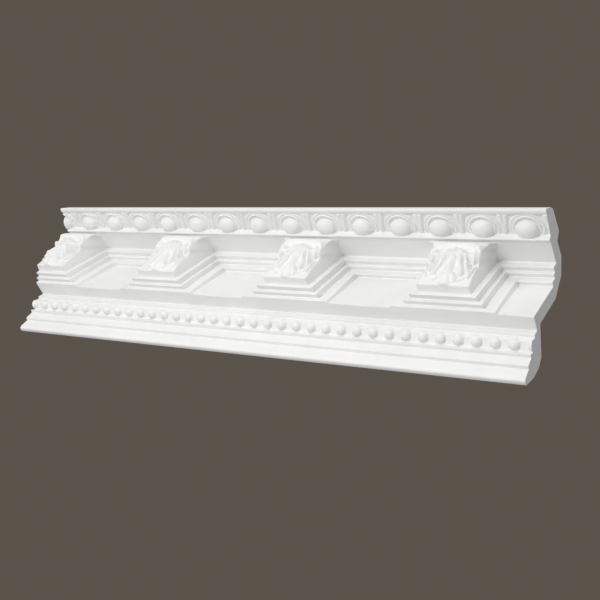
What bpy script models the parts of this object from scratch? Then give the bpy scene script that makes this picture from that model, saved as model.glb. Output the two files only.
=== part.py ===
"""A cut length of ceiling cornice, moulded in one piece of rigid foam.

It is modelled as it is fixed: +Z up to the ceiling, the wall at Y = 0, the room towards -Y, and the
moulding running along X. The origin is the middle of the flat face that is glued to the wall.
From the wall outwards: a foot fillet, a band of eggs and darts, a plain frieze, a sloping soffit
with stepped coffers and a leaf bracket between each two, a fascia, and a crown with a row of beads.
"""
import math

import bmesh
import bpy
from mathutils import Vector

# How much is cut off and how the ornament repeats along it
LENGTH = 0.600
BRACKET_PITCH = 0.16667
FIRST_BRACKET = 0.0825
EGGS_PER_BRACKET = 4
BEADS_PER_BRACKET = 10

# The foot fillet and the band that carries the eggs
WALL_FACE_HEIGHT = 0.029
HEEL_BEVEL = 0.0041
HEEL_DROP = 0.0059
FOOT_WIDTH = 0.0122
FOOT_DROP = 0.0104
FOOT_FACE = 0.0023
COVE_RISE = 0.0054
COVE_RETURN = 0.0017
BAND_HEIGHT = 0.0198
BAND_LEAN = 0.0043
LEDGE_WIDTH = 0.0077
LEDGE_RISE = 0.0045
LEDGE_RETURN = 0.0017

# The soffit, its coffers and the fascia
FRIEZE_HEIGHT = 0.0275
DRIP_PROJECTION = 0.1068
SOFFIT_SLOPE = math.radians(26.5)
SOFFIT_THICKNESS = 0.0135
COFFER_WIDTH = 0.0667
STEP_SLOPE = math.radians(24.4)
STEP_HEIGHTS = (0.0027, 0.0055, 0.0064)
STEPS = len(STEP_HEIGHTS)
SIDE_LEDGES = (0.0120, 0.0057)
BACK_LEDGES = (0.0088, 0.0042, 0.0088)
STEP_SETBACK = 0.0042
# How much each level of a coffer, the deepest first, is narrower on each side at the back
COFFER_SPLAY = (0.0, 0.0020, 0.0034)
FASCIA_HEIGHT = 0.0182
FASCIA_LEAN = 0.0028

# The crown: each width runs out from the wall, each drop or rise is vertical
INNER_FILLET_WIDTH = 0.0070
INNER_FILLET_DROP = 0.0034
INNER_QUIRK_WIDTH = 0.0012
INNER_QUIRK_RISE = 0.0024
BED_STEP_WIDTH = 0.0060
BED_STEP_DROP = 0.0026
BEAD_BED_WIDTH = 0.0068
BEAD_BED_RISE = 0.0066
BED_EDGE_WIDTH = 0.0048
BED_EDGE_DROP = 0.0038
QUIRK_WIDTH = 0.0011
QUIRK_RISE = 0.0032
FILLET_WIDTH = 0.0098
FILLET_DROP = 0.0022
NOSE_WIDTH = 0.0114
NOSE_DROP = 0.0024
NOSE_BEVEL_WIDTH = 0.0024
NOSE_BEVEL_RISE = 0.0012
NOSE_THICKNESS = 0.0040
TIP_WIDTH = 0.0025
TIP_RISE = 0.0024
CROWN_DEPTH = 0.0182
CROWN_BACK_RUN = 0.0300
CROWN_BACK_BULGE = 0.0024

# The faces that meet the ceiling, and the hollow back
REAR_STEP = 0.0105
REAR_STEP_RISE = 0.0020
REAR_BEVEL = 0.0130
REAR_CEILING_FACE = 0.0180
CROWN_CEILING_FACE = 0.0110
CROWN_BACK_SLOPE = math.radians(52)

# The egg: half width, half height and how far it stands out of its band
EGG_HALF_WIDTH = 0.0114
EGG_HALF_HEIGHT = 0.0096
EGG_RISE = 0.0078
EGG_OFF_CENTRE = 0.0046
SHELL_GAP = 0.0039
SHELL_HALF_HEIGHT = 0.0122
SHELL_EDGE = 0.0009
SHELL_RISE = 0.0034
SHELL_HOLLOW = 0.0008
EGG_SIDES = 12
EGG_RINGS = 3
DART_WIDTH = 0.0070
DART_POINT = 0.0018
DART_RISE = 0.0028
DART_START = 0.46
BEAD_RADIUS = 0.0050
BEAD_RISE = 0.0040
BEAD_PLACE = 0.38
BEAD_SUNK = 0.0004
BEAD_SIDES = 8
BEAD_RINGS = 6

# The bracket under the soffit, and the leaf on it
BRACKET_WIDTH = 0.0520
BRACKET_DRAFT = 0.0010
BRACKET_SETBACK = 0.0044
BRACKET_FACE_HEIGHT = 0.0075
BRACKET_FACE_LEAN = 0.0030
BRACKET_FALL = 0.0170
BRACKET_SPLAY = 0.0034
BRACKET_FLARE = 0.0045
FLARE_START = 0.78
LEAF_RISE = 0.0120
# How the leaf's middle and its edges hang at shares of the way from the front edge to the frieze,
# as shares of its rise: low lobes in front, then the lip and the rolled crest, then the tail
LEAF_MIDDLE = ((0.0, 0.0), (0.05, 0.30), (0.10, 0.46), (0.38, 0.50), (0.49, 0.72), (0.53, 1.0), (0.62, 1.08),
               (0.70, 0.97), (0.79, 1.06), (0.86, 0.94), (0.92, 0.82), (1.0, 0.62))
LEAF_EDGE = ((0.0, 0.0), (0.49, 0.0), (0.55, 0.52), (0.63, 0.64), (0.74, 0.52), (0.86, 0.54), (1.0, 0.42))
LEAF_LOBES = 5
LOBE_DEPTH = 0.0022
LOBES_END = 0.50
LEAF_EXTRA_ROWS = {0.20, 0.29, 0.45}
LEAF_COLUMNS = 16
LEAF_ROUNDING = 3

FOAM_COLOUR = (0.83, 0.83, 0.82, 1)
FOAM_ROUGHNESS = 0.55

# How far a joined piece runs into the one that carries it, and a cutter past what it cuts
BURIED = 0.0030
CLEAR = 0.0200


def clear_scene():
    for old in list(bpy.data.objects):
        bpy.data.objects.remove(old, do_unlink=True)


def foam():
    material = bpy.data.materials.new("white_primed_foam")
    material.use_nodes = True
    shader = material.node_tree.nodes["Principled BSDF"]
    shader.inputs["Base Color"].default_value = FOAM_COLOUR
    shader.inputs["Roughness"].default_value = FOAM_ROUGHNESS
    return material


def make_object(name, bm):
    bmesh.ops.recalc_face_normals(bm, faces=bm.faces)
    mesh = bpy.data.meshes.new(name)
    bm.to_mesh(mesh)
    bm.free()
    piece = bpy.data.objects.new(name, mesh)
    bpy.context.scene.collection.objects.link(piece)
    return piece


def hide(piece, group):
    """Keeps a cutter or a joined shape out of the part, as something only its Boolean reads."""
    bpy.context.scene.collection.objects.unlink(piece)
    group.objects.link(piece)
    piece.hide_render = True
    piece.display_type = "WIRE"


def extrude_outline(name, outline, low_x, high_x):
    """An outline in Y and Z, drawn out along X."""
    bm = bmesh.new()
    face = bm.faces.new([bm.verts.new((low_x, y, z)) for y, z in outline])
    drawn = bmesh.ops.extrude_face_region(bm, geom=[face])
    moved = [item for item in drawn["geom"] if isinstance(item, bmesh.types.BMVert)]
    bmesh.ops.translate(bm, verts=moved, vec=(high_x - low_x, 0, 0))
    return make_object(name, bm)


def walk(start, moves):
    """The points that (out from the wall, up) moves lead to, one after the other."""
    points = [start]
    for out, up in moves:
        points.append((points[-1][0] - out, points[-1][1] + up))
    return points


def band_points():
    """The foot, the egg band, its ledge and the frieze, from the wall face's lower edge up."""
    return walk((0.0, -WALL_FACE_HEIGHT / 2), [
        (HEEL_BEVEL, -HEEL_DROP),
        (FOOT_WIDTH, -FOOT_DROP),
        (FOOT_FACE, FOOT_FACE),
        (-COVE_RETURN, COVE_RISE),
        (BAND_LEAN, BAND_HEIGHT),
        (LEDGE_WIDTH, 0),
        (-LEDGE_RETURN, LEDGE_RISE),
        (0, FRIEZE_HEIGHT),
    ])


BAND = band_points()
BAND_LOW, BAND_HIGH = BAND[4], BAND[5]
FRIEZE_TOP = BAND[-1]


def step_z(y, count):
    """The height at y of the underside of the step that stands `count` steps below the coffer's floor."""
    inner = FRIEZE_TOP[1] + (y - FRIEZE_TOP[0]) * math.tan(STEP_SLOPE)
    return inner + sum(STEP_HEIGHTS[count:])


def soffit_z(y):
    """The height at y of the coffers' floor, which is steeper than the steps and meets them at the drip."""
    return step_z(-DRIP_PROJECTION, 0) + (y + DRIP_PROJECTION) * math.tan(SOFFIT_SLOPE)


def step_points():
    """The ends of the three steps under the soffit, from the bracket out to the fascia."""
    points = []
    for count in range(STEPS, 0, -1):
        y = -DRIP_PROJECTION + (count - 1) * STEP_SETBACK
        if points:
            points.append((points[-1][0], step_z(points[-1][0], count)))
        points.append((y, step_z(y, count)))
    return points


def crown_points():
    """The fillets, the bed of the beads and the rounded nose, out from the fascia's top."""
    low_y, low_z = step_points()[-1]
    return walk((low_y - FASCIA_LEAN, low_z + FASCIA_HEIGHT), [
        (INNER_FILLET_WIDTH, -INNER_FILLET_DROP),
        (INNER_QUIRK_WIDTH, INNER_QUIRK_RISE),
        (BED_STEP_WIDTH, -BED_STEP_DROP),
        (BEAD_BED_WIDTH, BEAD_BED_RISE),
        (BED_EDGE_WIDTH, -BED_EDGE_DROP),
        (QUIRK_WIDTH, QUIRK_RISE),
        (FILLET_WIDTH, -FILLET_DROP),
        (QUIRK_WIDTH, QUIRK_RISE),
        (NOSE_WIDTH, -NOSE_DROP),
        (NOSE_BEVEL_WIDTH, NOSE_BEVEL_RISE),
        (0, NOSE_THICKNESS),
        (-TIP_WIDTH, TIP_RISE),
    ])


def section_outline():
    crown = crown_points()
    tip = crown[-1]
    ceiling = tip[1] + CROWN_DEPTH
    crown_edge = tip[0] + CROWN_BACK_RUN
    crown_heel = crown_edge + CROWN_CEILING_FACE
    shell = SOFFIT_THICKNESS / math.cos(SOFFIT_SLOPE)
    slope = math.tan(SOFFIT_SLOPE)
    # The soffit's back runs up to the ceiling at one end, and down to the crown's back at the other
    high_y = -DRIP_PROJECTION + (ceiling - shell - soffit_z(-DRIP_PROJECTION)) / slope
    groove_y = crown_heel + (ceiling - shell - soffit_z(crown_heel)) / (math.tan(CROWN_BACK_SLOPE) + slope)
    rear_face = -REAR_STEP - REAR_BEVEL
    wall_top = WALL_FACE_HEIGHT / 2
    back = [
        ((crown_edge + tip[0]) / 2, (ceiling + tip[1]) / 2 + CROWN_BACK_BULGE),
        (crown_edge, ceiling),
        (crown_heel, ceiling),
        (groove_y, soffit_z(groove_y) + shell),
        (min(high_y, rear_face - REAR_CEILING_FACE), ceiling),
        (rear_face, ceiling),
        (-REAR_STEP, ceiling - REAR_BEVEL),
        (-REAR_STEP, wall_top + REAR_STEP_RISE),
        (0.0, wall_top),
    ]
    return BAND + step_points() + crown + back


def coffer_cutter(name, centre, level):
    """The air of one level of a coffer: level 0 is the deepest and narrowest, the last the shallowest.

    Its sides close in towards the frieze by the level's splay.
    """
    half = COFFER_WIDTH / 2 + sum(SIDE_LEDGES[:level])
    back = FRIEZE_TOP[0] - sum(BACK_LEDGES[:STEPS - level])
    front = -DRIP_PROJECTION - CLEAR - level * BURIED
    over = BURIED * (1 + level)

    def roof(y):
        return step_z(y, level) if level else soffit_z(y)

    outline = [(back, roof(back)), (front, roof(front)),
               (front, step_z(front, STEPS) - over), (back, step_z(back, STEPS) - over)]
    cutter = extrude_outline(name, outline, centre - half, centre + half)
    for vertex in cutter.data.vertices:
        share = (vertex.co.y + DRIP_PROJECTION) / (FRIEZE_TOP[0] + DRIP_PROJECTION)
        vertex.co.x += math.copysign(COFFER_SPLAY[level] * share, centre - vertex.co.x)
    return cutter


def read_off(line, along):
    """The height of a line of (share of the way, height) points at one share of the way."""
    for (before, low), (after, high) in zip(line, line[1:]):
        if along <= after:
            return low + (high - low) * (along - before) / (after - before)
    return line[-1][1]


def leaf_underside(across, along):
    """How far the leaf hangs below the bracket's plain underside.

    across runs from -1 to 1 over the width, along from 0 at the front edge to 1 at the frieze.
    """
    middle, edge = read_off(LEAF_MIDDLE, along), read_off(LEAF_EDGE, along)
    bulge = 1 - abs(across) ** LEAF_ROUNDING
    body = LEAF_RISE * (edge + (middle - edge) * bulge)
    if along in (0.0, 1.0) or along > LOBES_END:
        return body
    lobes = math.cos(math.pi * LEAF_LOBES * across / 2) ** 2
    return body + LOBE_DEPTH * (lobes - 0.5) * bulge


def bracket(name, centre):
    """A block under the soffit. Its underside is a grid, bent into the leaf and closed above.

    A row of the grid lies at each share that the leaf's lines name. The block widens towards the frieze,
    most of all at the soffit, and flares where it meets the frieze.
    """
    top_front = step_points()[0][0] + BRACKET_SETBACK
    low_front = top_front + BRACKET_FACE_LEAN
    front_z = step_z(top_front, STEPS) - BRACKET_FACE_HEIGHT
    root = FRIEZE_TOP[0] + BURIED
    half = BRACKET_WIDTH / 2 - BRACKET_DRAFT
    bm = bmesh.new()
    shares = sorted({share for share, _ in LEAF_MIDDLE + LEAF_EDGE} | LEAF_EXTRA_ROWS)
    grids = []
    for leaf_side in (True, False):
        grid = []
        for along in shares:
            flare = BRACKET_FLARE * max(0.0, (along - FLARE_START) / (1 - FLARE_START)) ** 2
            row = []
            for number in range(LEAF_COLUMNS + 1):
                across = 2 * number / LEAF_COLUMNS - 1
                if leaf_side:
                    y = low_front + along * (root - low_front)
                    z = front_z + along * BRACKET_FALL - leaf_underside(across, along)
                    x = centre + across * (half + flare)
                else:
                    y = top_front + along * (root - top_front)
                    z = step_z(y, STEPS) + BURIED
                    x = centre + across * (BRACKET_WIDTH / 2 + BRACKET_SPLAY * along + flare)
                row.append(bm.verts.new((x, y, z)))
            grid.append(row)
        for low, high in zip(grid, grid[1:]):
            for a, b, c, d in zip(low, low[1:], high[1:], high):
                bm.faces.new((a, b, c, d))
        grids.append(grid)
    leaf, top = grids
    rims = [(leaf[0], top[0]), (leaf[-1], top[-1])]
    rims += [([row[side] for row in leaf], [row[side] for row in top]) for side in (0, -1)]
    for lower, upper in rims:
        for a, b, c, d in zip(lower, lower[1:], upper[1:], upper):
            bm.faces.new((a, b, c, d))
    return make_object(name, bm)


def ring(bm, sides, half_width, half_height, rise):
    corners = []
    for number in range(sides):
        turn = 2 * math.pi * number / sides
        corners.append(bm.verts.new((half_width * math.cos(turn), -rise, half_height * math.sin(turn))))
    for first, second in zip(corners, corners[1:] + corners[:1]):
        bm.edges.new((first, second))
    return corners


def egg(name, x):
    """An egg in its shell: rings of an ellipse, bridged from the buried base up to the dome."""
    shell_half = (BRACKET_PITCH / EGGS_PER_BRACKET - SHELL_GAP) / 2
    hollow_width = (shell_half + EGG_HALF_WIDTH) / 2
    hollow_height = (SHELL_HALF_HEIGHT + EGG_HALF_HEIGHT) / 2
    sizes = [(shell_half, SHELL_HALF_HEIGHT, -BURIED),
             (shell_half, SHELL_HALF_HEIGHT, SHELL_EDGE),
             ((shell_half + hollow_width) / 2, (SHELL_HALF_HEIGHT + hollow_height) / 2, SHELL_RISE),
             (hollow_width, hollow_height, SHELL_HOLLOW)]
    for number in range(EGG_RINGS):
        lift = math.radians(90 * number / EGG_RINGS)
        sizes.append((EGG_HALF_WIDTH * math.cos(lift), EGG_HALF_HEIGHT * math.cos(lift),
                      SHELL_HOLLOW + (EGG_RISE - SHELL_HOLLOW) * math.sin(lift)))
    bm = bmesh.new()
    rings = [ring(bm, EGG_SIDES, *size) for size in sizes]
    for lower, upper in zip(rings, rings[1:]):
        count = len(lower)
        for number in range(count):
            after = (number + 1) % count
            bm.faces.new((lower[number], lower[after], upper[after], upper[number]))
    bm.faces.new(rings[0])
    top = bm.verts.new((0, -EGG_RISE, 0))
    for first, second in zip(rings[-1], rings[-1][1:] + rings[-1][:1]):
        bm.faces.new((first, second, top))
    piece = make_object(name, bm)
    stand_on_band(piece, x, 0.5 + EGG_OFF_CENTRE / BAND_HEIGHT)
    return piece


def stand_on_band(piece, x, share):
    """Puts a piece on the egg band, leaning as the band does."""
    y = BAND_LOW[0] + share * (BAND_HIGH[0] - BAND_LOW[0])
    z = BAND_LOW[1] + share * (BAND_HIGH[1] - BAND_LOW[1])
    piece.location = (x, y, z)
    piece.rotation_euler.x = math.atan2(BAND_LEAN, BAND_HEIGHT)


def dart(name, x):
    """A tapering tongue between two shells, wide at the foot of the band."""
    low, high = -BAND_HEIGHT * DART_START, BAND_HEIGHT / 2 + BURIED
    bm = bmesh.new()
    loops = []
    for z, width in ((low, DART_WIDTH), (high, DART_POINT)):
        loops.append([bm.verts.new((-width / 2, BURIED, z)), bm.verts.new((width / 2, BURIED, z)),
                      bm.verts.new((0, -DART_RISE, z))])
    count = len(loops[0])
    for number in range(count):
        after = (number + 1) % count
        bm.faces.new((loops[0][number], loops[0][after], loops[1][after], loops[1][number]))
    for loop in loops:
        bm.faces.new(loop)
    piece = make_object(name, bm)
    stand_on_band(piece, x, 0.5)
    return piece


def bead(name, x):
    """A flattened ball, sunk a little into the bed and leaning as the bed does."""
    bm = bmesh.new()
    bmesh.ops.create_uvsphere(bm, u_segments=BEAD_SIDES, v_segments=BEAD_RINGS, radius=1.0)
    bmesh.ops.scale(bm, vec=Vector((BEAD_RADIUS, BEAD_RADIUS, BEAD_RISE)), verts=bm.verts)
    piece = make_object(name, bm)
    lean = math.atan2(BEAD_BED_RISE, BEAD_BED_WIDTH)
    inner, outer = crown_points()[3:5]
    y = inner[0] + BEAD_PLACE * (outer[0] - inner[0]) + BEAD_SUNK * math.sin(lean)
    z = inner[1] + BEAD_PLACE * (outer[1] - inner[1]) + BEAD_SUNK * math.cos(lean)
    piece.location = (x, y, z)
    piece.rotation_euler.x = -lean
    return piece


def places(first, pitch, reach):
    """The X of each copy of a repeat whose shape, `reach` wide each way, meets the length."""
    low, high = -LENGTH / 2, LENGTH / 2
    number = math.floor(-(first + reach) / pitch) - 1
    found = []
    while low + first + number * pitch - reach < high:
        x = low + first + number * pitch
        if x + reach > low:
            found.append(x)
        number += 1
    return found


def build():
    clear_scene()
    cut_away = bpy.data.collections.new("coffer_cutters")
    added = bpy.data.collections.new("raised_ornament")
    trim = bpy.data.collections.new("end_cuts")
    for group in (cut_away, added, trim):
        bpy.context.scene.collection.children.link(group)

    cornice = extrude_outline("cornice_length", section_outline(), -LENGTH / 2 - CLEAR, LENGTH / 2 + CLEAR)
    cornice.data.materials.append(foam())

    egg_pitch = BRACKET_PITCH / EGGS_PER_BRACKET
    bead_pitch = BRACKET_PITCH / BEADS_PER_BRACKET
    coffer_half = COFFER_WIDTH / 2 + sum(SIDE_LEDGES)
    first_coffer = FIRST_BRACKET - BRACKET_PITCH / 2
    for number, x in enumerate(places(first_coffer, BRACKET_PITCH, coffer_half)):
        for level in range(STEPS):
            hide(coffer_cutter(f"coffer_{number}_{level}", x, level), cut_away)
    for number, x in enumerate(places(FIRST_BRACKET, BRACKET_PITCH, BRACKET_WIDTH / 2)):
        hide(bracket(f"bracket_{number}", x), added)
    first_egg = FIRST_BRACKET - BRACKET_PITCH / 2 + egg_pitch / 2
    for number, x in enumerate(places(first_egg, egg_pitch, egg_pitch / 2)):
        hide(egg(f"egg_{number}", x), added)
    for number, x in enumerate(places(first_egg - egg_pitch / 2, egg_pitch, DART_WIDTH / 2)):
        hide(dart(f"dart_{number}", x), added)
    for number, x in enumerate(places(first_coffer, bead_pitch, BEAD_RADIUS)):
        hide(bead(f"bead_{number}", x), added)

    outline = section_outline()
    low_y = min(y for y, _ in outline) - CLEAR
    low_z = min(z for _, z in outline) - CLEAR
    high_z = max(z for _, z in outline) + CLEAR
    box = [(low_y, low_z), (CLEAR, low_z), (CLEAR, high_z), (low_y, high_z)]
    hide(extrude_outline("square_ends", box, -LENGTH / 2, LENGTH / 2), trim)

    for operation, group in (("DIFFERENCE", cut_away), ("UNION", added), ("INTERSECT", trim)):
        joined = cornice.modifiers.new(operation.lower(), "BOOLEAN")
        joined.operation = operation
        joined.operand_type = "COLLECTION"
        joined.collection = group
        joined.solver = "EXACT"


build()
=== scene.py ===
"""A cut length of ceiling cornice in white primed foam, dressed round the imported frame.

Everything is in metres and in the frame's own axes: +Z up to the ceiling, the wall at Y = 0, the
room towards -Y, and the moulding along X. The face is one skin, laid row by row from the wall's
lower edge, over the ornament and round the back, as it leaves its mould.
"""
import math

import bmesh
import bpy
import numpy as np
from mathutils import Matrix, Vector


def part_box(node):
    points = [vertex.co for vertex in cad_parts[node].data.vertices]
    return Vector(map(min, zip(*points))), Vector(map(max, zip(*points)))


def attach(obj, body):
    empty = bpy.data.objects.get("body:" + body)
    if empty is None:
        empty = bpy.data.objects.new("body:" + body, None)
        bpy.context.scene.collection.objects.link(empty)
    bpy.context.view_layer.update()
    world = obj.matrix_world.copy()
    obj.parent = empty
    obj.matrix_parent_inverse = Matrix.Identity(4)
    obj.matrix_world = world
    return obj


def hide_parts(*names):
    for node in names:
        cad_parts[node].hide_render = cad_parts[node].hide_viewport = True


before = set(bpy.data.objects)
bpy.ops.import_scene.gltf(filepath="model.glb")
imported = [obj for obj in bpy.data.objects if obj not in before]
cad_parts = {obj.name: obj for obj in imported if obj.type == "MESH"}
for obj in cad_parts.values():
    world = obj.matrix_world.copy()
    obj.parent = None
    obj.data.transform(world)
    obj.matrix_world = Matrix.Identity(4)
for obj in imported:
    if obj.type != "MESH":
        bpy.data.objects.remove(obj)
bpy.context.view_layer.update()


# The foam body starts at the wall with a flat strip for the adhesive, a bevelled heel and the foot
# fillet. It is moulded rigid foam, and the rows below are laid from that strip outwards.
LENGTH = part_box("cornice_length")[1].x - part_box("cornice_length")[0].x
LOW_X, HIGH_X = -LENGTH / 2, LENGTH / 2
WALL_FACE_HEIGHT = 0.029
PLAIN_SPACING = 0.020
# A painted edge is cut by a small chamfer, never by more than a share of the sides that meet there
EASED_EDGE = 0.0007
LARGEST_SHARE = 0.4
# Moves along the section, each (out from the wall, up)
HEEL_BEVEL = (0.0041, -0.0059)
FOOT_FILLET = (0.0122, -0.0104)
FOOT_FACE = (0.0023, 0.0023)
COVE = (-0.0017, 0.0054)
EGG_BAND = (0.0043, 0.0198)
EGG_LEDGE = (0.0077, 0.0)
LEDGE_FACE = (-0.0017, 0.0045)
FRIEZE = (0.0, 0.0275)
points = []
facets = []
rows = []


def walk(start, moves):
    """The points in Y and Z that (out from the wall, up) moves lead to, one after the other."""
    found = [start]
    for out, up in moves:
        found.append((found[-1][0] - out, found[-1][1] + up))
    return found


def eased(outline, size=EASED_EDGE):
    """The outline with each inner corner cut by a small chamfer, as a painted edge is."""
    line = [outline[0]]
    for before, corner, after in zip(outline, outline[1:], outline[2:]):
        corner = Vector(corner)
        for neighbour in (Vector(before), Vector(after)):
            way = neighbour - corner
            line.append(tuple(corner + way * min(size / way.length, LARGEST_SHARE)))
    return line + [outline[-1]]


def even_columns(spacing):
    """X of the columns of a row, from one cut end to the other."""
    return np.linspace(LOW_X, HIGH_X, round(LENGTH / spacing) + 1)


def lay_row(xs, ys, zs):
    """Adds a row of points and joins it to the row laid before it, whatever its number of columns."""
    start = len(points)
    points.extend(zip(xs.tolist(), np.broadcast_to(ys, xs.shape).tolist(),
                      np.broadcast_to(zs, xs.shape).tolist()))
    row = list(range(start, len(points)))
    if rows:
        join_rows(rows[-1], row)
    rows.append(row)


def join_rows(low, high):
    """Faces between two rows: four-sided where their columns pair up, else triangles."""
    if len(low) == len(high):
        for a, b, c, d in zip(low, low[1:], high[1:], high):
            facets.append((a, b, c, d))
        return
    i = j = 0
    while i < len(low) - 1 or j < len(high) - 1:
        next_low = points[low[i + 1]][0] if i < len(low) - 1 else math.inf
        next_high = points[high[j + 1]][0] if j < len(high) - 1 else math.inf
        if next_low <= next_high:
            facets.append((low[i], low[i + 1], high[j]))
            i += 1
        else:
            facets.append((low[i], high[j + 1], high[j]))
            j += 1


def lay_plain(outline):
    """Rows of a part of the section that runs plain from end to end."""
    for y, z in outline:
        lay_row(even_columns(PLAIN_SPACING), y, z)


foot = walk((0.0, -WALL_FACE_HEIGHT / 2), [HEEL_BEVEL, FOOT_FILLET, FOOT_FACE])
band = walk(foot[-1], [COVE, EGG_BAND, EGG_LEDGE, LEDGE_FACE, FRIEZE])
BAND_LOW, BAND_HIGH = band[1], band[2]
FRIEZE_FOOT, FRIEZE_TOP = band[4], band[5]
lay_plain(eased(foot + [BAND_LOW])[:-1])


# The egg band is a row of eggs, each in a double-rimmed shell, with a dart between two shells. It is
# part of the same moulding, so the eggs stand out of the band along the way the mould pulls off.
BRACKET_PITCH = 0.16667
FIRST_BRACKET = 0.0825
EGGS_PER_BRACKET = 4
EGG_PITCH = BRACKET_PITCH / EGGS_PER_BRACKET
FIRST_EGG = LOW_X + FIRST_BRACKET - BRACKET_PITCH / 2 + EGG_PITCH / 2
EGG_COLUMNS = 52
EGG_ROW_SPACING = 0.00078
# Fine rows keep this far from a row laid on a corner, and columns this share of a column from an end
EGG_CORNER_GAP = 0.00025
END_GAP = 0.3
BAND_MARGIN = 0.0003
EGG_HALF_WIDTH, EGG_HALF_HEIGHT, EGG_RISE = 0.0113, 0.0097, 0.0078
EGG_UP_THE_BAND = 0.0047
# The oval that the rims follow, and of each rim how far beyond it lies, its half width and its rise
OVAL_CENTRE, OVAL_HALF_HEIGHT = 0.0075, 0.0092
INNER_RIM = (0.0010, 0.0016, 0.0026)
OUTER_RIM = (0.0044, 0.0014, 0.0019)
DART_TOP_HALF, DART_FOOT_HALF, DART_RISE = 0.0058, 0.0023, 0.0026
DART_ROUNDING = 4
SPLIT_HALF_WIDTH, SPLIT_DEPTH = 0.0009, 0.0013
SPLIT_FADE = (0.2, 0.7)
# Where rims and darts rise out of the band, from its foot, and where they run out, from the ledge
RELIEF_IN, RELIEF_OUT = (-0.0014, 0.0006), (-0.0008, 0.0012)
MOULD_TILT = math.radians(45)
ROOT2 = math.sqrt(2)
# A height far below the face, where a raised shape isn't
NOWHERE = -1.0


def to_mould(y, z):
    """Y and Z as (up the mould's face, how far it stands out), for a mould that pulls off at 45 degrees."""
    return (z - y) / ROOT2, -(y + z) / ROOT2


def from_mould(up, out):
    """The way back, to Y and Z."""
    return -(out + up) / ROOT2, (up - out) / ROOT2


def mould_line(outline):
    """An outline as two arrays, up and out, to read off how far the face stands out at any height."""
    return np.array([to_mould(y, z) for y, z in outline]).T


def smooth(low, high, value):
    """Runs softly from 0 at low to 1 at high."""
    share = np.clip((value - low) / (high - low), 0, 1)
    return share * share * (3 - 2 * share)


def repeated_columns(first, pitch, count):
    """Columns that fall alike on each copy of a repeat, with one on each cut end."""
    steps = np.arange(-2 * count, round(LENGTH / pitch + 3) * count)
    xs = first + steps * pitch / count
    margin = END_GAP * pitch / count
    xs = xs[(xs > LOW_X + margin) & (xs < HIGH_X - margin)]
    return np.concatenate([[LOW_X], xs, [HIGH_X]])


def rows_with_corners(fine, corners, gap):
    """Fine rows and the rows laid on corners, without the fine ones that lie too near a corner."""
    nearest = np.min(np.abs(fine[:, None] - corners[None, :]), axis=1)
    return np.sort(np.concatenate([fine[nearest > gap], corners]))


def from_nearest(xs, first, pitch):
    """How far each column is from the middle of the copy it belongs to."""
    return (xs - first + pitch / 2) % pitch - pitch / 2


def egg_dome(aside, up):
    """How far an egg stands out, as the far side of an ellipsoid whose base lies on the band."""
    lean = math.atan2(BAND_HIGH[0] - BAND_LOW[0], BAND_HIGH[1] - BAND_LOW[1])
    tilt = MOULD_TILT + lean
    middle_y = (BAND_LOW[0] + BAND_HIGH[0]) / 2 + EGG_UP_THE_BAND * math.sin(lean)
    middle_z = (BAND_LOW[1] + BAND_HIGH[1]) / 2 + EGG_UP_THE_BAND * math.cos(lean)
    middle_up, middle_out = to_mould(middle_y, middle_z)
    along_up, along_out = math.cos(tilt), -math.sin(tilt)
    rise_up, rise_out = math.sin(tilt), math.cos(tilt)
    height, rise = EGG_HALF_HEIGHT, EGG_RISE
    off = up - middle_up
    square = (along_out / height) ** 2 + (rise_out / rise) ** 2
    linear = 2 * off * (along_up * along_out / height ** 2 + rise_up * rise_out / rise ** 2)
    rest = off ** 2 * ((along_up / height) ** 2 + (rise_up / rise) ** 2) - 1 + (aside / EGG_HALF_WIDTH) ** 2
    inside = linear ** 2 - 4 * square * rest
    dome = middle_out + (-linear + np.sqrt(np.maximum(inside, 0))) / (2 * square)
    return np.where(inside > 0, dome, NOWHERE)


def shell_relief(aside, up):
    """The two rims that ring an egg on three sides, and run out on the ledge."""
    oval = np.hypot(aside / EGG_HALF_WIDTH, (up - OVAL_CENTRE) / OVAL_HALF_HEIGHT)
    beyond = (oval - 1) * EGG_HALF_WIDTH
    relief = 0.0
    for distance, half_width, rise in (INNER_RIM, OUTER_RIM):
        relief = relief + rise * np.exp(-((beyond - distance) / half_width) ** 2)
    return relief


def dart_relief(aside, up):
    """A tulip-shaped tongue, split at its wide end and narrow at the ledge."""
    low, high = to_mould(*BAND_LOW)[0], to_mould(*BAND_HIGH)[0]
    share = np.clip((up - low) / (high - low), 0, 1)
    half = DART_TOP_HALF + (DART_FOOT_HALF - DART_TOP_HALF) * share
    body = DART_RISE * (1 - np.minimum(np.abs(aside) / half, 1) ** DART_ROUNDING)
    split = SPLIT_DEPTH * np.exp(-(aside / SPLIT_HALF_WIDTH) ** 2) * (1 - smooth(*SPLIT_FADE, share))
    return body - split


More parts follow.
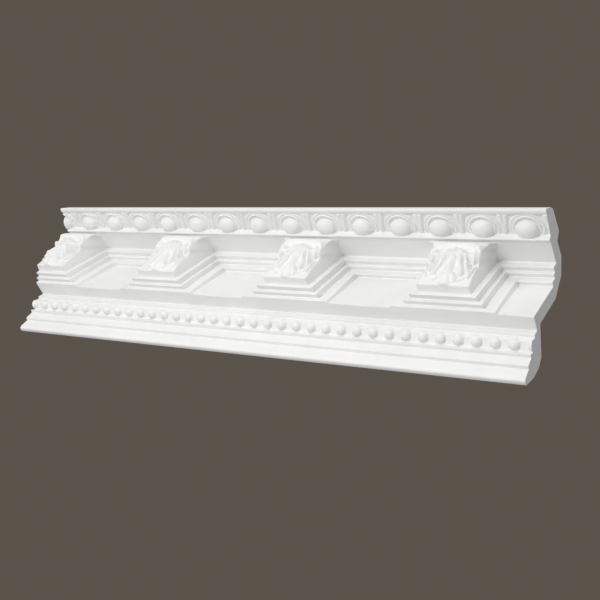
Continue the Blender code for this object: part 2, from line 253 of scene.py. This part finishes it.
egg_xs = repeated_columns(FIRST_EGG, EGG_PITCH, EGG_COLUMNS)
band_up, band_out = mould_line(eased(band))
band_start, ledge_start = to_mould(*BAND_LOW)[0], to_mould(*BAND_HIGH)[0]
frieze_start = to_mould(*FRIEZE_FOOT)[0]
fine_ups = np.arange(band_start, frieze_start, EGG_ROW_SPACING)
corner_ups = band_up[(band_up > band_up[0] + BAND_MARGIN) & (band_up < frieze_start + 2 * EASED_EDGE)]
for up in rows_with_corners(fine_ups, corner_ups, EGG_CORNER_GAP):
    aside = from_nearest(egg_xs, FIRST_EGG, EGG_PITCH)
    beside = from_nearest(egg_xs, FIRST_EGG + EGG_PITCH / 2, EGG_PITCH)
    relief = np.maximum(shell_relief(aside, up), dart_relief(beside, up))
    relief = relief * smooth(band_start + RELIEF_IN[0], band_start + RELIEF_IN[1], up)
    relief = relief * (1 - smooth(ledge_start + RELIEF_OUT[0], ledge_start + RELIEF_OUT[1], up))
    out = np.interp(up, band_up, band_out) + relief
    out = np.maximum(out, egg_dome(aside, up))
    lay_row(egg_xs, *from_mould(up, out))


# The frieze, the coffers and the leaf brackets. Each coffer is three ledges deep, in a soffit that
# slopes down to the drip, and a bracket with a curled acanthus leaf hangs between each two.
DRIP = 0.1068
STEP_SLOPE, SOFFIT_SLOPE = math.radians(24.4), math.radians(26.5)
STEP_HEIGHTS = (0.0027, 0.0055, 0.0064)
STEPS = len(STEP_HEIGHTS)
COFFER_HALF = 0.0667 / 2
SIDE_LEDGES = (0.0120, 0.0057)
BACK_LEDGES = (0.0088, 0.0042, 0.0088)
STEP_SETBACK = 0.0042
FASCIA_HEIGHT, FASCIA_LEAN = 0.0182, 0.0028
BRACKET_HALF, BRACKET_DRAFT, BRACKET_SETBACK = 0.0260, 0.0010, 0.0044
BRACKET_FACE_HEIGHT, BRACKET_FACE_LEAN = 0.0075, 0.0030
BRACKET_FALL = 0.0170
BRACKET_FLARE, FLARE_HEIGHT = 0.0045, 0.0085
# Brackets and ledges spread towards the frieze; the spread dies out at a reach from a bracket's middle
SPLAY, SPLAY_REACH, SPLAY_FADE = 0.0034, 0.0505, 0.0185
# Columns beside a bracket's wall, and how near to it a column counts as outside it
WALL_COLUMNS = (0.0, 0.0010, 0.0060)
WALL_TOLERANCE = 0.0002
# The first row lies so far past the egg ledge and the last one past the fascia's corners; rows closer
# than the last of these digits are one, and no column lies nearer to a cut end than the clearance
FIRST_ROW, LAST_ROW = 0.0013, 0.0010
ROW_DIGITS = 7
END_CLEARANCE = 0.0004
# Brackets are laid from the one before the low end to the one past the high end
BRACKET_COPIES = range(-1, 5)


def step_z(y, count):
    """Height at y of the underside of the step that stands `count` steps below the coffer's floor."""
    inner = FRIEZE_TOP[1] + (y - FRIEZE_TOP[0]) * math.tan(STEP_SLOPE)
    return inner + sum(STEP_HEIGHTS[count:])


def soffit_z(y):
    """Height at y of the coffers' floor."""
    return step_z(-DRIP, 0) + (y + DRIP) * math.tan(SOFFIT_SLOPE)


def soffit_outline(level):
    """Section from the frieze to the fascia, from level 0 in a coffer's middle to 3 beside a bracket."""
    line = [FRIEZE_FOOT, FRIEZE_TOP]
    back = FRIEZE_TOP[0]
    for count, ledge in zip(range(STEPS, 0, -1), BACK_LEDGES):
        if count > level:
            back -= ledge
            line.append((back, step_z(back, count)))
            line.append((back, step_z(back, count - 1) if count > 1 else soffit_z(back)))
    for count in range(level, 1, -1):
        y = -DRIP + (count - 1) * STEP_SETBACK
        line += [(y, step_z(y, count)), (y, step_z(y, count - 1))]
    drip_z = step_z(-DRIP, 1)
    if level:
        line.append((-DRIP, drip_z))
    else:
        rise = STEP_HEIGHTS[0]
        lean = FASCIA_LEAN / FASCIA_HEIGHT
        past = rise * lean / (1 + lean * math.tan(SOFFIT_SLOPE))
        line.append((-DRIP - past, soffit_z(-DRIP - past)))
    line.append((-DRIP - FASCIA_LEAN, drip_z + FASCIA_HEIGHT))
    return line


# The acanthus leaf lies curled on each bracket: a rolled crest near the frieze, a lip below it, and
# lobes that fall from the lip to the front edge. Heights are measured down from the plain underside.
CREST_LINE = ((0.0, 0.0), (0.40, 0.0034), (0.50, 0.0070), (0.54, 0.0112), (0.62, 0.0118), (0.70, 0.0112),
              (0.79, 0.0120), (0.86, 0.0112), (0.92, 0.0100), (1.0, 0.0076))
EDGE_LINE = ((0.0, 0.0), (0.50, 0.0), (0.55, 0.0056), (0.63, 0.0072), (0.74, 0.0062), (0.86, 0.0064),
             (1.0, 0.0050))
RIDGE_FALL = 0.0030
BED_RISE, BED_ROUNDING = 0.0016, 8
LEAF_ROUNDING = 3
LEAF_FRONT, LEAF_FRONT_SWEEP, LEAF_FRONT_FADE = 0.035, 0.30, 0.025
LEAF_RUN = 0.0668
LEAF_COLUMNS, LEAF_ROW_SPACING, LEAF_CORNER_GAP = 84, 0.00066, 0.0002
# Even columns cover this share of the leaf, and a few more lie at its edges
EVEN_SHARE, EDGE_PLACES = 0.96, (-1.0, -0.985, 0.985, 1.0)
# The underside's side edges are eased by so much, from a share of the way across
SIDE_EASE, SIDE_EASE_START = 0.0009, 0.95
# The leaf's line is worked out at so many places, to a little past the frieze. At its front end the
# block's face goes on up into the step above it, where it drops back out of sight
LEAF_SAMPLES, LEAF_RUN_ON = 260, 1.03
FACE_RUN_ON, FACE_END, FACE_DROP = 0.001, 0.002, 0.02
# Each ridge is a line of (across, along, half width, height); all but the middle one have a twin
MIDDLE_RIDGES = (
    ((0.0, 0.58, 0.0021, 0.0104), (0.02, 0.50, 0.0026, 0.0084), (0.03, 0.40, 0.0034, 0.0070),
     (0.0, 0.28, 0.0044, 0.0066), (-0.02, 0.16, 0.0056, 0.0058), (-0.03, 0.07, 0.0058, 0.0042)),
)
PAIRED_RIDGES = (
    ((0.27, 0.59, 0.0017, 0.0108), (0.32, 0.50, 0.0020, 0.0088), (0.40, 0.40, 0.0022, 0.0070),
     (0.47, 0.31, 0.0023, 0.0058), (0.52, 0.22, 0.0028, 0.0060)),
    ((0.50, 0.56, 0.0015, 0.0104), (0.57, 0.47, 0.0018, 0.0080), (0.66, 0.37, 0.0020, 0.0062),
     (0.76, 0.27, 0.0022, 0.0050)),
    ((0.20, 0.20, 0.0030, 0.0050), (0.36, 0.11, 0.0032, 0.0042)),
    ((0.74, 0.66, 0.0026, 0.0110), (0.82, 0.57, 0.0022, 0.0096), (0.80, 0.48, 0.0018, 0.0064)),
    ((0.90, 0.40, 0.0016, 0.0038), (0.86, 0.30, 0.0018, 0.0034), (0.80, 0.18, 0.0020, 0.0030)),
    ((0.97, 0.50, 0.0011, 0.0014), (0.97, 0.12, 0.0010, 0.0009)),
    ((0.0, 0.645, 0.0024, 0.0132), (0.36, 0.635, 0.0024, 0.0124), (0.60, 0.61, 0.0020, 0.0112)),
    ((0.0, 0.80, 0.0036, 0.0133), (0.45, 0.79, 0.0034, 0.0126), (0.76, 0.75, 0.0030, 0.0106),
     (0.96, 0.67, 0.0022, 0.0086)),
)
# Each pocket is (across, along, half width, half height, depth)
POCKETS = (
    (0.52, 0.655, 0.0048, 0.0032, 0.0072),
    (0.62, 0.520, 0.0030, 0.0036, 0.0056),
    (0.80, 0.430, 0.0046, 0.0026, 0.0044),
    (0.08, 0.600, 0.0052, 0.0012, 0.0030),
    (0.17, 0.480, 0.0013, 0.0060, 0.0022),
    (0.42, 0.500, 0.0012, 0.0056, 0.0020),
    (0.30, 0.715, 0.0100, 0.0030, 0.0016),
)


def ridge_height(across, along, knots, side):
    """Height of a rounded ridge drawn through its knots, far below zero away from it."""
    height = np.full(np.broadcast(across, along).shape, NOWHERE)
    for first, second in zip(knots, knots[1:]):
        ax, ay = side * first[0] * BRACKET_HALF, first[1] * LEAF_RUN
        bx, by = side * second[0] * BRACKET_HALF, second[1] * LEAF_RUN
        px, py = across * BRACKET_HALF - ax, along * LEAF_RUN - ay
        dx, dy = bx - ax, by - ay
        share = np.clip((px * dx + py * dy) / (dx * dx + dy * dy), 0, 1)
        away = np.hypot(px - share * dx, py - share * dy)
        half = first[2] + (second[2] - first[2]) * share
        top = first[3] + (second[3] - first[3]) * share
        height = np.maximum(height, top - RIDGE_FALL * (away / half) ** 2)
    return height


def leaf_height(across, along):
    """How far the leaf hangs below the bracket's plain underside, across -1 to 1 and along 0 to 1."""
    middle = np.interp(along, *np.array(CREST_LINE).T)
    edge = np.interp(along, *np.array(EDGE_LINE).T)
    body = edge + (middle - edge) * (1 - np.abs(across) ** LEAF_ROUNDING)
    front = LEAF_FRONT + LEAF_FRONT_SWEEP * np.abs(across) ** LEAF_ROUNDING
    inside = smooth(front, front + LEAF_FRONT_FADE, along)
    body = np.maximum(body * inside, BED_RISE * inside * (1 - np.abs(across) ** BED_ROUNDING))
    for knots in MIDDLE_RIDGES:
        body = np.maximum(body, ridge_height(across, along, knots, 1))
    for knots in PAIRED_RIDGES:
        for side in (-1, 1):
            body = np.maximum(body, ridge_height(across, along, knots, side))
    for place, reach, wide, tall, depth in POCKETS:
        for side in (-1, 1):
            off = ((across - side * place) * BRACKET_HALF / wide) ** 2
            off = off + ((along - reach) * LEAF_RUN / tall) ** 2
            body = body - depth * np.exp(-off)
    return np.maximum(body, 0)


def bracket_out(across, ups):
    """How far the bracket stands out of the mould's face, a column for each place across it."""
    top_front = -DRIP + (STEPS - 1) * STEP_SETBACK + BRACKET_SETBACK
    low_front = top_front + BRACKET_FACE_LEAN
    front_z = step_z(top_front, STEPS) - BRACKET_FACE_HEIGHT
    face_up, face_out = to_mould(top_front, step_z(top_front, STEPS) + FACE_RUN_ON)
    along = np.linspace(0, LEAF_RUN_ON, LEAF_SAMPLES)
    y = low_front + along * LEAF_RUN
    columns = []
    for place in across:
        ease = SIDE_EASE * smooth(SIDE_EASE_START, 1.0, abs(place)) ** 2
        z = front_z + along * BRACKET_FALL - leaf_height(place, along) + ease
        up, out = to_mould(y, z)
        up = np.minimum.accumulate(up)
        line_up = np.concatenate([[face_up + FACE_END, face_up], up])
        line_out = np.concatenate([[face_out - FACE_DROP, face_out], out])
        columns.append(np.interp(ups, line_up[::-1], line_out[::-1]))
    return np.array(columns)


coffer_edges = [COFFER_HALF, COFFER_HALF + SIDE_LEDGES[0], COFFER_HALF + sum(SIDE_LEDGES)]
soffit_lines = [mould_line(eased(soffit_outline(level))) for level in range(STEPS + 1)]
soffit_ups = np.unique(np.round(np.concatenate([line[0][1:-1] for line in soffit_lines]), ROW_DIGITS))
zone_start, zone_end = frieze_start + FIRST_ROW, soffit_ups[-1] + LAST_ROW
soffit_ups = soffit_ups[soffit_ups > zone_start]
block_front = -DRIP + (STEPS - 1) * STEP_SETBACK + BRACKET_SETBACK
face_foot = to_mould(block_front, step_z(block_front, STEPS))[0]
leaf_ups = np.arange(zone_start, face_foot, LEAF_ROW_SPACING)
soffit_ups = rows_with_corners(leaf_ups, soffit_ups, LEAF_CORNER_GAP)
soffit_ups = np.unique(np.append(soffit_ups, (zone_start, zone_end)))

# Columns of one bracket and the coffer to its right: the leaf's own, the bracket's walls, the ledges
leaf_places = np.linspace(-EVEN_SHARE, EVEN_SHARE, LEAF_COLUMNS + 1)
leaf_places = np.sort(np.append(leaf_places, EDGE_PLACES))
leaf_table = bracket_out(leaf_places, soffit_ups)


def soffit_columns():
    """(x, level of the section, place on the leaf or None) of each column, from end to end."""
    columns = []
    for number in BRACKET_COPIES:
        bracket_x = LOW_X + FIRST_BRACKET + number * BRACKET_PITCH
        coffer_x = bracket_x + BRACKET_PITCH / 2
        inner = BRACKET_HALF - BRACKET_DRAFT
        columns += [(bracket_x + place * inner, STEPS, index) for index, place in enumerate(leaf_places)]
        columns += [(bracket_x + side * (BRACKET_HALF + gap), STEPS, None)
                    for side in (-1, 1) for gap in WALL_COLUMNS]
        for level, edge in enumerate(coffer_edges):
            for side in (-1, 1):
                columns.append((coffer_x + side * (edge - EASED_EDGE), level, None))
                columns.append((coffer_x + side * (edge + EASED_EDGE), level + 1, None))
        columns.append((coffer_x, 0, None))
    columns.sort(key=lambda column: column[0])
    first_x, last_x = LOW_X + END_CLEARANCE, HIGH_X - END_CLEARANCE
    kept = [column for column in columns if first_x < column[0] < last_x]
    before = [column for column in columns if column[0] <= first_x][-1]
    after = [column for column in columns if column[0] >= last_x][0]
    return [(LOW_X, *before[1:])] + kept + [(HIGH_X, *after[1:])]


columns = soffit_columns()
soffit_xs = np.array([column[0] for column in columns])
bracket_off = from_nearest(soffit_xs, LOW_X + FIRST_BRACKET, BRACKET_PITCH)
for number, up in enumerate(soffit_ups):
    out = np.array([np.interp(up, *soffit_lines[column[1]]) for column in columns])
    leaf = [NOWHERE if column[2] is None else leaf_table[column[2], number] for column in columns]
    out = np.maximum(out, np.array(leaf))
    flare = BRACKET_FLARE * (1 - smooth(zone_start, zone_start + FLARE_HEIGHT, up)) ** 2
    spread = flare * np.minimum(np.abs(bracket_off) / BRACKET_HALF, 1)
    towards_frieze = min(max((face_foot - up) / (face_foot - zone_start), 0), 1)
    spread = spread + SPLAY * towards_frieze * (np.abs(bracket_off) > BRACKET_HALF - WALL_TOLERANCE)
    fade = np.clip((SPLAY_REACH - np.abs(bracket_off)) / SPLAY_FADE, 0, 1)
    spread = np.sign(bracket_off) * spread * fade
    xs = np.clip(soffit_xs + spread, LOW_X, HIGH_X)
    xs[0], xs[-1] = LOW_X, HIGH_X
    lay_row(xs, *from_mould(up, out))


# The fascia and the crown run plain, of the same foam: a fillet at the fascia's top, then the sloping
# bed of the beads. They come crisper from the mould than the rest, so their edges are cut less.
CROWN_EDGE = 0.0003
INNER_FILLET = (0.0070, -0.0034)
INNER_QUIRK = (0.0012, 0.0024)
BED_STEP = (0.0060, -0.0026)
BEAD_BED = (0.0068, 0.0066)
BED_EDGE = (0.0048, -0.0038)
QUIRK = (0.0011, 0.0032)
drip = (-DRIP, step_z(-DRIP, 1))
crown = walk((drip[0] - FASCIA_LEAN, drip[1] + FASCIA_HEIGHT), [INNER_FILLET, INNER_QUIRK])
bed = walk(crown[-1], [BED_STEP, BEAD_BED, BED_EDGE, QUIRK])
lay_plain(eased([drip] + crown + bed[1:], CROWN_EDGE)[1:5])


# The beads are a row of small round drops on the sloping bed, nearer to the fascia than to the nose.
# They are moulded with it, ten from one bracket to the next.
BEADS_PER_BRACKET = 10
BEAD_PITCH = BRACKET_PITCH / BEADS_PER_BRACKET
FIRST_BEAD = LOW_X + FIRST_BRACKET - BRACKET_PITCH / 2
BEAD_COLUMNS = 16
BEAD_ROW_SPACING, BEAD_CORNER_GAP, BED_MARGIN = 0.0007, 0.0001, 0.0003
BEAD_HALF_WIDTH, BEAD_HALF_LENGTH, BEAD_RISE = 0.0050, 0.0050, 0.0043
BEAD_PLACE = 0.38
bead_xs = repeated_columns(FIRST_BEAD, BEAD_PITCH, BEAD_COLUMNS)
bed_up, bed_out = mould_line(eased(crown[1:] + bed[1:], CROWN_EDGE))
bed_start, bed_end = to_mould(*bed[1]), to_mould(*bed[2])
bead_middle = bed_start[0] + BEAD_PLACE * (bed_end[0] - bed_start[0])
# Two rows lie on each cut corner, from the step before the bed to the edge after it
bed_corners = bed_up[1:7]
bead_ups = np.arange(bed_corners[0] + BED_MARGIN, bed_corners[-1], BEAD_ROW_SPACING)
for up in rows_with_corners(bead_ups, bed_corners, BEAD_CORNER_GAP):
    aside = from_nearest(bead_xs, FIRST_BEAD, BEAD_PITCH)
    round_off = 1 - (aside / BEAD_HALF_WIDTH) ** 2 - ((up - bead_middle) / BEAD_HALF_LENGTH) ** 2
    flat = np.interp(up, bed_up, bed_out)
    dome = bed_start[1] + BEAD_RISE * np.sqrt(np.maximum(round_off, 0))
    lay_row(bead_xs, *from_mould(up, np.where(round_off > 0, np.maximum(flat, dome), flat)))


# The rest of the crown: two fillets, the rounded nose, and the back that turns up to the ceiling. The
# back is left hollow to save foam, with a strip for the adhesive on each side of the hollow.
FILLET = (0.0098, -0.0022)
NOSE = (0.0104, -0.0024)
NOSE_ROUND = ((0.0014, 0.0002), (0.0013, 0.0006), (0.0006, 0.0012), (0.0001, 0.0026),
              (-0.0009, 0.0019), (-0.0016, 0.0011))
CROWN_DEPTH, CROWN_BACK_RUN, CROWN_BACK_BULGE = 0.0182, 0.0300, 0.0024
CROWN_CEILING_FACE = 0.0110
CROWN_BACK_SLOPE = math.tan(math.radians(52))
SOFFIT_THICKNESS = 0.0135
REAR_STEP, REAR_STEP_RISE = 0.0105, 0.0020
REAR_BEVEL, REAR_CEILING_FACE = 0.0130, 0.0180
crown_end = walk(bed[-1], [FILLET, QUIRK, NOSE, *NOSE_ROUND])
tip = crown_end[-1]
ceiling = tip[1] + CROWN_DEPTH
crown_edge = tip[0] + CROWN_BACK_RUN
crown_heel = crown_edge + CROWN_CEILING_FACE
shell = SOFFIT_THICKNESS / math.cos(SOFFIT_SLOPE)
slope = math.tan(SOFFIT_SLOPE)
high_y = -DRIP + (ceiling - shell - soffit_z(-DRIP)) / slope
groove_y = crown_heel + (ceiling - shell - soffit_z(crown_heel)) / (CROWN_BACK_SLOPE + slope)
rear_face = -REAR_STEP - REAR_BEVEL
wall_top = WALL_FACE_HEIGHT / 2
back = [
    ((crown_edge + tip[0]) / 2, (ceiling + tip[1]) / 2 + CROWN_BACK_BULGE),
    (crown_edge, ceiling),
    (crown_heel, ceiling),
    (groove_y, soffit_z(groove_y) + shell),
    (min(high_y, rear_face - REAR_CEILING_FACE), ceiling),
    (rear_face, ceiling),
    (-REAR_STEP, ceiling - REAR_BEVEL),
    (-REAR_STEP, wall_top + REAR_STEP_RISE),
    (0.0, wall_top),
]
lay_plain(eased(bed[2:] + crown_end[1:] + back, CROWN_EDGE)[1:])
join_rows(rows[-1], rows[0])
facets.append(tuple(row[0] for row in rows))
facets.append(tuple(row[-1] for row in rows))


# The rows are now one closed body of foam. Edges that turn by more than the sharp angle stay crisp,
# the others are smooth under the primer.
SHARP_ANGLE = math.radians(34)
mesh = bpy.data.meshes.new("cornice")
mesh.from_pydata(points, [], facets)
skin = bmesh.new()
skin.from_mesh(mesh)
bmesh.ops.recalc_face_normals(skin, faces=skin.faces)
skin.to_mesh(mesh)
skin.free()
mesh.shade_smooth()
mesh.set_sharp_from_angle(angle=SHARP_ANGLE)
cornice = bpy.data.objects.new("cornice", mesh)
bpy.context.scene.collection.objects.link(cornice)


# The face and back carry a white primer; the two cut ends show the greyer foam with its fine pores.
# Both have two near tones in soft patches, and a fine grain.
TONE_EDGES = (0.35, 0.65)
PATCH_DETAIL, GRAIN_DETAIL, GRAIN_STRENGTH = 5.0, 3.0, 0.35
PRIMER_TONES, PRIMER_ROUGHNESS = (0.825, 0.86), 0.55
PRIMER_PATCHES, PRIMER_GRAIN, PRIMER_GRAIN_DEPTH = 30.0, 500.0, 0.0002
FOAM_TONES, FOAM_ROUGHNESS = (0.53, 0.59), 0.8
FOAM_PATCHES, FOAM_PORES, FOAM_PORE_DEPTH = 90.0, 1400.0, 0.0004


def dressed(name, scale, tones, roughness, grain_scale, grain_depth):
    """A material of two near tones in soft patches, with a fine grain that catches the light."""
    material = bpy.data.materials.new(name)
    material.use_nodes = True
    nodes, links = material.node_tree.nodes, material.node_tree.links
    shader = nodes["Principled BSDF"]
    shader.inputs["Roughness"].default_value = roughness
    place = nodes.new("ShaderNodeTexCoord")
    patches = nodes.new("ShaderNodeTexNoise")
    patches.inputs["Scale"].default_value = scale
    patches.inputs["Detail"].default_value = PATCH_DETAIL
    ramp = nodes.new("ShaderNodeValToRGB")
    for element, position, tone in zip(ramp.color_ramp.elements, TONE_EDGES, tones):
        element.position = position
        element.color = (tone, tone, tone, 1)
    grain = nodes.new("ShaderNodeTexNoise")
    grain.inputs["Scale"].default_value = grain_scale
    grain.inputs["Detail"].default_value = GRAIN_DETAIL
    raised = nodes.new("ShaderNodeBump")
    raised.inputs["Strength"].default_value = GRAIN_STRENGTH
    raised.inputs["Distance"].default_value = grain_depth
    for noise in (patches, grain):
        links.new(place.outputs["Object"], noise.inputs["Vector"])
    links.new(patches.outputs["Fac"], ramp.inputs["Fac"])
    links.new(ramp.outputs["Color"], shader.inputs["Base Color"])
    links.new(grain.outputs["Fac"], raised.inputs["Height"])
    links.new(raised.outputs["Normal"], shader.inputs["Normal"])
    return material


mesh.materials.append(dressed("white_primer_on_foam", PRIMER_PATCHES, PRIMER_TONES, PRIMER_ROUGHNESS,
                              PRIMER_GRAIN, PRIMER_GRAIN_DEPTH))
mesh.materials.append(dressed("cut_foam", FOAM_PATCHES, FOAM_TONES, FOAM_ROUGHNESS,
                              FOAM_PORES, FOAM_PORE_DEPTH))
# The two ends are the last faces that were laid
for cut_end in mesh.polygons[-2:]:
    cut_end.material_index = 1

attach(cornice, "root")
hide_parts("cornice_length")


# The setting: a pale floor well below the piece, soft light mostly from above and left, and a camera
# that looks at the moulding as the photograph does.
FLOOR_HALF, FLOOR_Z, FLOOR_COLOUR = 5, -2.8, (0.72, 0.70, 0.67, 1)
VIEW_TURN = math.radians(58.827)
CAMERA_PLACE = (-0.505214, -0.550801, -0.567134)
LENS, SENSOR_WIDTH, SHIFT_Y = 51.476, 36.0, -0.1546
LIGHTS_AIM = (0, -0.08, 0.0)
KEY_DISTANCE, KEY_SIZE = 1.1, 0.6
FILL_DISTANCE, FILL_SIZE = 1.9, 0.9
STUDIO_FILL, STUDIO_STRENGTH = (1.0, 1.0, 1.0, 1), 0.42
BACKDROP_COLOUR = (0.102, 0.087, 0.070, 1)
floor_mesh = bpy.data.meshes.new("floor")
floor_corners = [(x * FLOOR_HALF, y * FLOOR_HALF, FLOOR_Z) for x, y in ((-1, -1), (1, -1), (1, 1), (-1, 1))]
floor_mesh.from_pydata(floor_corners, [], [(0, 1, 2, 3)])
floor = bpy.data.objects.new("floor", floor_mesh)
bpy.context.scene.collection.objects.link(floor)
pale = bpy.data.materials.new("pale_floor")
pale.use_nodes = True
pale.node_tree.nodes["Principled BSDF"].inputs["Base Color"].default_value = FLOOR_COLOUR
floor_mesh.materials.append(pale)

# The view's own right, ahead and up
right = Vector((-math.sin(VIEW_TURN), math.cos(VIEW_TURN) / ROOT2, math.cos(VIEW_TURN) / ROOT2))
ahead = Vector((math.cos(VIEW_TURN), math.sin(VIEW_TURN) / ROOT2, math.sin(VIEW_TURN) / ROOT2))
upward = Vector((0, 1, -1)) / ROOT2
camera_data = bpy.data.cameras.new("camera")
camera_data.lens = LENS
camera_data.sensor_width = SENSOR_WIDTH
camera_data.shift_y = SHIFT_Y
camera = bpy.data.objects.new("camera", camera_data)
turn = Matrix((right, upward, -ahead)).transposed()
camera.matrix_world = Matrix.Translation(CAMERA_PLACE) @ turn.to_4x4()
bpy.context.scene.collection.objects.link(camera)
bpy.context.scene.camera = camera


def soft_light(name, way, distance, size, power):
    """A square soft light that shines on the moulding from a direction given in the view's own axes."""
    data = bpy.data.lights.new(name, "AREA")
    data.size = size
    data.energy = power
    lamp = bpy.data.objects.new(name, data)
    aim = (right * way[0] + upward * way[1] - ahead * way[2]).normalized()
    lamp.location = Vector(LIGHTS_AIM) + aim * distance
    lamp.rotation_mode = "QUATERNION"
    lamp.rotation_quaternion = aim.to_track_quat("Z", "Y")
    bpy.context.scene.collection.objects.link(lamp)


soft_light("key", (-0.40, 0.52, 0.75), KEY_DISTANCE, KEY_SIZE, 6.2)
soft_light("left_side", (-0.80, 0.30, 0.50), FILL_DISTANCE, FILL_SIZE, 7.6)
soft_light("top", (0.0, 0.95, 0.30), FILL_DISTANCE, FILL_SIZE, 5)
soft_light("low", (0.0, -0.70, 0.70), FILL_DISTANCE, FILL_SIZE, 1.2)
soft_light("right_side", (0.75, 0.60, 0.30), FILL_DISTANCE, FILL_SIZE, 5.5)

# Even white light from all round; the camera alone sees the dark backdrop in its place
world = bpy.data.worlds.new("studio")
world.use_nodes = True
fill = world.node_tree.nodes["Background"]
fill.inputs["Color"].default_value = STUDIO_FILL
fill.inputs["Strength"].default_value = STUDIO_STRENGTH
backdrop = world.node_tree.nodes.new("ShaderNodeBackground")
backdrop.inputs["Color"].default_value = BACKDROP_COLOUR
seen = world.node_tree.nodes.new("ShaderNodeLightPath")
choose = world.node_tree.nodes.new("ShaderNodeMixShader")
world.node_tree.links.new(seen.outputs["Is Camera Ray"], choose.inputs[0])
world.node_tree.links.new(fill.outputs[0], choose.inputs[1])
world.node_tree.links.new(backdrop.outputs[0], choose.inputs[2])
world.node_tree.links.new(choose.outputs[0], world.node_tree.nodes["World Output"].inputs["Surface"])
bpy.context.scene.world = world
bpy.context.scene.view_settings.view_transform = "Standard"
